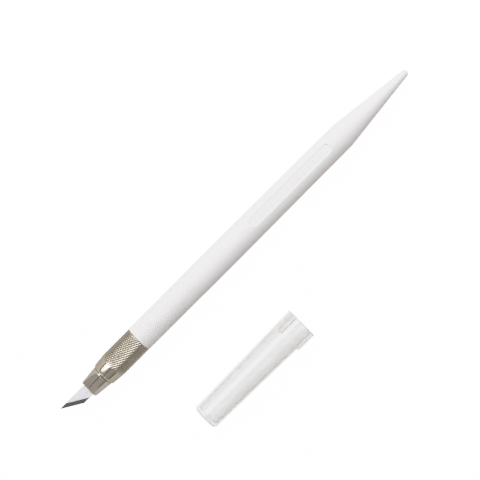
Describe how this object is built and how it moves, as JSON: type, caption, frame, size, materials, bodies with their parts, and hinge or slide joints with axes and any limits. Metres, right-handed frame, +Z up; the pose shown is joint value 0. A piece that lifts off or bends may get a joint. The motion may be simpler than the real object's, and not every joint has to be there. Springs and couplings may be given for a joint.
{
  "type": "hobby craft knife",
  "caption": "Pen-shaped craft knife: white barrel with textured grip and tapered tail, knurled nickel collar on a slit collet, angled blade, and a translucent ribbed cap beside it.",
  "frame": {"origin": "on the barrel's axis, where the textured grip ends and the plain barrel begins", "axes": "+X along the knife towards its tail, +Z up from the surface that the knife and its cap lie on, +Y away from the cap"},
  "size_m": [0.1505, 0.0421, 0.0106],
  "materials": {
    "white_plastic": "fine satin moulded plastic, textured on the grip",
    "brass": "turned, unplated thread",
    "nickel_jaws": "nickel plated, lightly brushed",
    "nickel_collar": "nickel plated, knurled",
    "blade_steel": "pale satin faces with a dark ground edge",
    "milky_plastic": "translucent, slightly milky"
  },
  "bodies": {
    "barrel": {"barrel": "white_plastic", "chuck_sleeve": "brass"},
    "bush": {"collar_bush": "brass"},
    "collar": {"collar": "nickel_collar"},
    "jaw_1": {"jaw_1": "nickel_jaws"},
    "jaw_2": {"jaw_2": "nickel_jaws"},
    "jaw_3": {"jaw_3": "nickel_jaws"},
    "jaw_4": {"jaw_4": "nickel_jaws"},
    "blade": {"blade": "blade_steel"},
    "cap": {"cap": "milky_plastic"}
  },
  "joints": [
    {"name": "collar_advance", "type": "slide", "parent": "barrel", "child": "bush", "axis": [-1, 0, 0], "range_m": [0, 0.00112]},
    {"name": "collar_turn", "type": "hinge", "parent": "bush", "child": "collar", "pos_m": [-0.0325, 0, 0], "axis": [-1, 0, 0], "range_deg": [0, 540]},
    {"name": "jaw_1_flex", "type": "hinge", "parent": "barrel", "child": "jaw_1", "pos_m": [-0.033, 0.00168, 0.00126], "axis": [0, 0.6018, -0.7986], "range_deg": [0, 0.66]},
    {"name": "jaw_2_flex", "type": "hinge", "parent": "barrel", "child": "jaw_2", "pos_m": [-0.033, -0.00126, 0.00168], "axis": [0, 0.7986, 0.6018], "range_deg": [0, 0.66]},
    {"name": "jaw_3_flex", "type": "hinge", "parent": "barrel", "child": "jaw_3", "pos_m": [-0.033, -0.00168, -0.00126], "axis": [0, -0.6018, 0.7986], "range_deg": [0, 0.66]},
    {"name": "jaw_4_flex", "type": "hinge", "parent": "barrel", "child": "jaw_4", "pos_m": [-0.033, 0.00126, -0.00168], "axis": [0, -0.7986, -0.6018], "range_deg": [0, 0.66]},
    {"name": "blade_slide", "type": "slide", "parent": "barrel", "child": "blade", "axis": [-1, 0, 0], "range_m": [0, 0.024]},
    {"name": "cap_slide", "type": "slide", "parent": "barrel", "child": "cap", "axis": [-1, 0, 0], "range_m": [0, 0.042]}
  ],
  "couplings": [
    {"joint": "collar_turn", "follows": "collar_advance", "rad_per_m": 8377.5},
    {"joint": "jaw_1_flex", "follows": "collar_advance", "rad_per_m": 10.08},
    {"joint": "jaw_2_flex", "follows": "collar_advance", "rad_per_m": 10.08},
    {"joint": "jaw_3_flex", "follows": "collar_advance", "rad_per_m": 10.08},
    {"joint": "jaw_4_flex", "follows": "collar_advance", "rad_per_m": 10.08}
  ]
}
